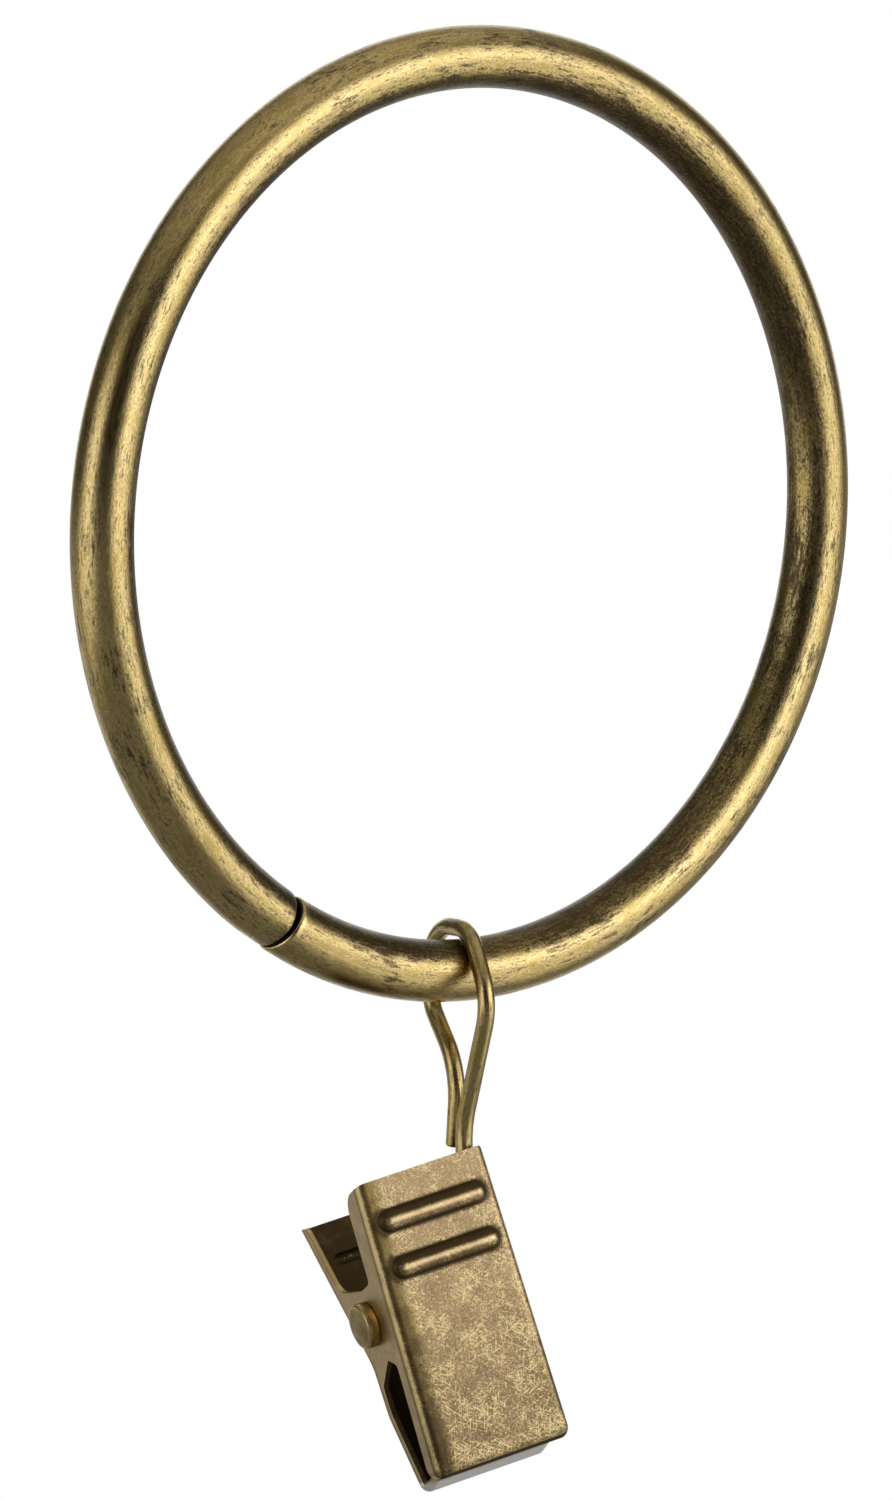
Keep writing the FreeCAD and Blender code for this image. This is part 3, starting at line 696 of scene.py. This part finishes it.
def pressed_brass(name, sheet):
    """Brown gold with bright flecks, ribs and bends, under a dark layer. The layer keeps some patina in the rib
    hollows and adds painted shade there, on the inside faces and in a strip by the left bend; the crests, flanges
    and cut edges carry painted highlights, and the bottom lip a painted reflection.
    """
    material, flow, shader = new_finish(name)
    place = clip_places(flow)
    across, through, up = place.parts()
    out_by, height, ribs, half_width = sheet(through, up)
    fine = place.noise(6.6, 5.0, 0.8)
    blotch = place.noise(0.9, 3.0, 0.6)
    patch = place.noise(0.5, 2.0, 0.5).step(0.40, 0.60)
    hairs = scratches(flow, place) * (0.15 + 0.85 * patch)
    in_by = (half_width - FACE_TAPER * up) - abs(across)
    face = out_by.step(-0.35, -0.05)
    # The rib crests are polished, and their bright gold is also a painted highlight.
    crest = out_by.step(0.26, 0.44)
    # Painted shade, with some patina: dark bands above and below each rib and at its ends.
    rib_shade_and_patina, bulge = rib_marks(across, height, ribs)
    rib_shade_and_patina = rib_shade_and_patina * out_by.step(-0.30, -0.15)
    lower = (up + 9.95).step(2.0, 0.3)
    right_side = in_by.step(1.5, 0.3) * across.step(0.0, 1.0) * up.step(6.5, 3.0)
    uneven = 0.65 + 0.7 * (blotch - 0.5) + 0.8 * (fine - 0.5)
    bend = out_by.step(-0.10, -0.20) * out_by.step(-0.47, -0.32) * uneven
    # Real wear on the lower and right edges and the bends, with the crests' painted highlight.
    wear_and_highlight = (lower.most(right_side) * face * 0.25).most(bend * 0.9).most(crest * (1.0 - rib_shade_and_patina))
    # Painted shade: a darker olive strip on the face beside the left bend.
    left_bend_shade = in_by.step(0.18, 0.35) * in_by.step(1.7, 0.7) * across.step(0.0, -1.0) * face
    # Painted highlight: the flanges are painted lighter and warmer.
    flank = out_by.step(-0.45, -0.75)
    # Painted shade: the jaws' inside faces, which face each other, are darkened.
    inner = (out_by - bulge).step(-0.16, -0.24) * in_by.step(0.28, 0.36)
    # Painted highlight: a bright line along the flanges' cut edges.
    cut_edge = flank * in_by.step(0.03, 0.10) * in_by.step(0.32, 0.25)
    mottled = face * (1.0 - (crest * 0.7).most(rib_shade_and_patina * 0.85).most(left_bend_shade * 0.65))
    # The dark layer: real tarnish, plus painted shade from the rib bands, the left-bend strip and the insides,
    # less the painted highlights and the lip's painted reflection.
    tarnish_and_painted_light = (0.26 - 0.027 * up) + (0.5 - blotch) * (0.5 + 0.1 * face) + (0.5 - fine) * (0.2 + 1.6 * mottled)
    tarnish_and_painted_light = tarnish_and_painted_light + rib_shade_and_patina * 0.95 + left_bend_shade * 0.46 - wear_and_highlight * 0.16 - hairs * mottled * 0.4
    tarnish_and_painted_light = tarnish_and_painted_light + inner * 1.0 - flank * 0.30 - cut_edge * 0.8
    # Painted reflection: the bottom lip is painted pale, smoother and less metallic, for the white table it
    # mirrors.
    lip = up.step(-9.97, -10.25) * out_by.step(-0.36, -0.5)
    tarnish_and_painted_light = (tarnish_and_painted_light - lip * 1.3).step(0.0, 1.1)
    fleck = (fine - 0.48) * (0.2 + 2.4 * mottled) + (fine - 0.56).most(0.0) * mottled * (2.0 + 6.0 * patch)
    warm = wear_and_highlight * 0.35 + bend * 0.3 + cut_edge * 0.5 + flank * 0.3 + fleck
    warm = (warm + (blotch - 0.5) * 0.5 + hairs * mottled * 0.6).step(0.0, 0.85)
    # The colour under the dark layer, with the left-bend strip's painted shade and the painted highlights in it.
    bare_and_painted_light = bend.mix((left_bend_shade * 0.75).mix(warm.mix(BROWN_GOLD, BRIGHT_GOLD), OLIVE), GOLD)
    colour = lip.mix(tarnish_and_painted_light.mix(bare_and_painted_light, UMBER), LIP_REFLECTION_WHITE)
    gloss = 0.40 - wear_and_highlight * 0.08 + tarnish_and_painted_light * 0.12 + (fine - 0.5) * 0.2 * face - lip * 0.2
    bump = relief(flow, (fine * 0.5 + hairs * 0.5) * (0.08 + 0.92 * mottled), 0.35, 0.00003)
    metal = 1.0 - tarnish_and_painted_light * 0.15 - lip * 0.6
    connect(flow, shader, Base_Color=colour, Roughness=gloss, Metallic=metal, Normal=bump)
    return material


def dress(node, material):
    """Gives a packed node its finish, without a change to its mesh."""
    body = frame["nodes"][node]
    for place in body.material_slots:
        place.link = "OBJECT"
        place.material = material


dress("front_jaw", pressed_brass("antique_front_jaw", front_sheet))
dress("back_jaw", pressed_brass("antique_back_jaw", back_sheet))
print("jaws dressed:", [place.material.name for node in ("front_jaw", "back_jaw")
                        for place in frame["nodes"][node].material_slots])

# %% [markdown]
# The rivet
#
# The rivet is turned: a wide, low-crowned head, a plain shank and a smaller upset head on the far side. A cylinder
# with bevels would do, but a profile carried round the pin's own axis gives the crown and the soft edge at once.

# %% Turn the rivet
HEAD_RADIUS, TAIL_RADIUS, PIN_RADIUS = 1.4, 1.25, 0.75
HEAD_THICK, TAIL_THICK, HEAD_EDGE, HEAD_CROWN = 0.80, 0.40, 0.14, 0.08


def rivet_skin(low, high, columns=64):
    """A profile of (along, radius) points turned round the pin: along is low plus crown times (r/R) squared on
    the head, a quarter circle at its edge, the shank, and the same again, mirrored, on the tail."""
    curl = np.linspace(0, np.pi / 2, 7)

    def cap(radius, thick):
        """One head, from its middle out over the edge and back in to the shank."""
        flat = np.linspace(0.12, radius - HEAD_EDGE, 10)
        rise = HEAD_CROWN * (flat / (radius - HEAD_EDGE)) ** 2
        turn_along = HEAD_CROWN + HEAD_EDGE * (1 - np.cos(curl[1:]))
        turn_radius = radius - HEAD_EDGE + HEAD_EDGE * np.sin(curl[1:])
        along = np.concatenate([rise, turn_along, [thick - 0.05, thick, thick]])
        return along, np.concatenate([flat, turn_radius, [radius, radius - 0.05, PIN_RADIUS]])

    head_along, head_radius = cap(HEAD_RADIUS, HEAD_THICK)
    tail_along, tail_radius = cap(TAIL_RADIUS, TAIL_THICK)
    along = np.concatenate([low + head_along, (high - tail_along)[::-1]])
    radius = np.concatenate([head_radius, tail_radius[::-1]])
    around = np.linspace(0, 2 * np.pi, columns, endpoint=False)
    return np.stack(np.broadcast_arrays(
        along[:, None], radius[:, None] * np.cos(around)[None, :], radius[:, None] * np.sin(around)[None, :]
    ), -1)


rivet_node = frame["nodes"]["pivot_rivet"].data
spots = np.zeros(len(rivet_node.vertices) * 3, np.float32)
rivet_node.vertices.foreach_get("co", spots)
along_pin = (spots.reshape(-1, 3) - clip_middle) @ clip_turn[:, 0] / MM
points = rivet_skin(float(along_pin.min()), float(along_pin.max()))
rivet = grid_mesh("rivet", points * MM @ clip_turn.T + clip_middle, caps=True)
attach(rivet, "clip_front")
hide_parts("pivot_rivet")
print("rivet from", along_pin.min().round(2), "to", along_pin.max().round(2), "mm along the pin")

# %% [markdown]
# The rivet's finish
#
# The head is low and flat, so hands rub its edge bright and leave its middle dark. The bright edge is also a
# painted highlight for the light along the head's rim. The edge could be a second material, but the wear has no
# border. So one mask, the distance from the pin's own line, carries the dark middle over into the bright edge.

# %% A finish for the rivet
RIVET_GOLD = (0.52, 0.385, 0.115, 1.0)
material, flow, shader = new_finish("antique_rivet")
place = clip_places(flow)
_, through, up = place.parts()
out = (through * through + up * up) ** 0.5
fine = place.noise(8.0, 3.0, 0.65)
blotch = place.noise(1.1, 2.0, 0.5)
# Rubbed bright, and also a painted highlight: the rim is gold all round.
edge = out.step(1.05, 1.42)
tarnish_and_painted_light = (0.55 + (0.5 - fine) * 0.7 + (0.5 - blotch) * 0.8 - edge * 0.25).step(0.0, 1.1)
colour = tarnish_and_painted_light.mix(edge.mix(RIVET_GOLD, GOLD), UMBER)
bump = relief(flow, fine, 0.3, 0.00003)
gloss = 0.30 + tarnish_and_painted_light * 0.15
metal = 1.0 - tarnish_and_painted_light * 0.1
connect(flow, shader, Base_Color=colour, Roughness=gloss, Metallic=metal, Normal=bump)
rivet.data.materials.append(material)
print("rivet finish:", material.name)

# %% [markdown]
# The spring
#
# A coil of steel wire on the pin pushes the levers apart with its two straight legs. A rigid coil would let the
# back lever pass through its leg as the clip opens, but a real one twists. This one is a round wire carried
# along a helix with a straight run at each end.

# %% Coil the spring
COIL_RADIUS, COIL_PITCH, COIL_START = 1.12, 0.55, -3.20
SPRING_RADIUS, SPRING_TIP = 0.25, 0.10
LEG_LENGTH = 4.6
COIL_ROWS, LEG_ROWS = 120, 12
FRONT_REACH, BACK_REACH = 3.15, 3.18
LEVER_LEAN = np.radians(29.5)


def leg_lean(reach):
    """The angle at which a leg, tangent to the coil, ends at this distance from the pin."""
    return np.arctan2(LEG_LENGTH, COIL_RADIUS) - np.arccos(reach / np.hypot(COIL_RADIUS, LEG_LENGTH))


def spring_line():
    """Leg, helix, leg. The helix is radius (cos t out + sin t round) plus the pin's direction times start + pitch
    t / 2 pi, and each leg goes on along the helix's tangent. Four turns, less the angle between the legs."""
    turns = 4.0 - (np.pi + leg_lean(FRONT_REACH) + LEVER_LEAN + leg_lean(BACK_REACH)) / (2 * np.pi)
    lean = -np.pi / 2 - leg_lean(FRONT_REACH)
    pin = np.array([1.0, 0.0, 0.0])
    out = np.array([0.0, np.sin(lean), np.cos(lean)])
    round_pin = np.cross(pin, out)
    t = np.linspace(0.0, 2 * np.pi * turns, COIL_ROWS)[:, None]
    along = COIL_START + COIL_PITCH * t / (2 * np.pi)
    coil = COIL_RADIUS * (np.cos(t) * out + np.sin(t) * round_pin) + pin * along
    ahead = COIL_RADIUS * (np.cos(t) * round_pin - np.sin(t) * out) + pin * COIL_PITCH / (2 * np.pi)
    ahead /= np.linalg.norm(ahead, axis=1)[:, None]
    to_tip = np.array([0.1, 0.05, 0.02, 0.0])
    away = np.concatenate([np.linspace(0.3, LEG_LENGTH - 0.2, LEG_ROWS), LEG_LENGTH - to_tip])
    front_leg = coil[0] - ahead[0] * away[::-1, None]
    back_leg = coil[-1] + ahead[-1] * away[:, None]
    return np.vstack([front_leg, coil, back_leg]), float(coil[-1, 0])


def spring_skin(line, columns=20):
    """A circle carried along the line, in the two directions square to it: one is the cross product of the line's
    direction and the pin's, the other is square to both. At the tips its radius shrinks on a quarter circle."""
    ahead = np.gradient(line, axis=0)
    ahead /= np.linalg.norm(ahead, axis=1)[:, None]
    first = np.cross(ahead, [1.0, 0.0, 0.0])
    first /= np.linalg.norm(first, axis=1)[:, None]
    second = np.cross(first, ahead)
    length = np.concatenate([[0], np.cumsum(np.linalg.norm(np.diff(line, axis=0), axis=1))])
    to_tip = np.clip(np.minimum(length, length[-1] - length) / SPRING_TIP, 0.0, 1.0)
    radius = SPRING_RADIUS - SPRING_TIP + SPRING_TIP * np.sqrt(1.0 - (1.0 - to_tip) ** 2)
    around = np.linspace(0.0, 2 * np.pi, columns, endpoint=False)
    cosine, sine = np.cos(around)[None, :, None], np.sin(around)[None, :, None]
    points = line[:, None] + radius[:, None, None] * (cosine * first[:, None] + sine * second[:, None])
    grain = np.stack(np.broadcast_arrays(
        length[:, None], SPRING_RADIUS * cosine[..., 0], SPRING_RADIUS * sine[..., 0]
    ), -1)
    return points, grain


line, coil_end = spring_line()
points, grain = spring_skin(line)
spring = grid_mesh("coil_spring", points * MM @ clip_turn.T + clip_middle, caps=True, grain=grain)
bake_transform(spring)
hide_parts("torsion_spring")
print("spring:", len(spring.data.polygons), "faces, coil to", round(coil_end, 2), "mm along the pin")

# %% [markdown]
# The spring's finish
#
# The spring is plain drawn steel, hidden in the clip, so it is grey with old grease and has no plating to wear.
# It could share the brass finish in another colour, but its dirt lies in patches along the wire, so it has a
# shorter finish of its own.

# %% A finish for the spring
STEEL, GREASE = (0.46, 0.45, 0.43, 1.0), (0.10, 0.09, 0.08, 1.0)
material, flow, shader = new_finish("spring_wire")
grain = flow.node("ShaderNodeAttribute", {"attribute_name": "grain"}, out=1)
fine = grain.stretch((0.4, 1.0, 1.0)).noise(9.0, 3.0, 0.65)
grease = grain.stretch((0.4, 1.0, 1.0)).noise(1.4, 2.0, 0.5)
dirt = (0.9 - grease + (0.5 - fine) * 0.8).step(0.25, 0.75)
colour = dirt.mix(STEEL, GREASE)
bump = relief(flow, fine, 0.3, 0.00002)
gloss = 0.28 + dirt * 0.25
metal = 1.0 - dirt * 0.3
connect(flow, shader, Base_Color=colour, Roughness=gloss, Metallic=metal, Normal=bump)
spring.data.materials.append(material)
print("spring finish:", material.name)

# %% [markdown]
# Finish
#
# The dressed model must stay the size of the packed one. The last step only brings the scene up to date.

# %% Update the scene
bpy.context.view_layer.update()
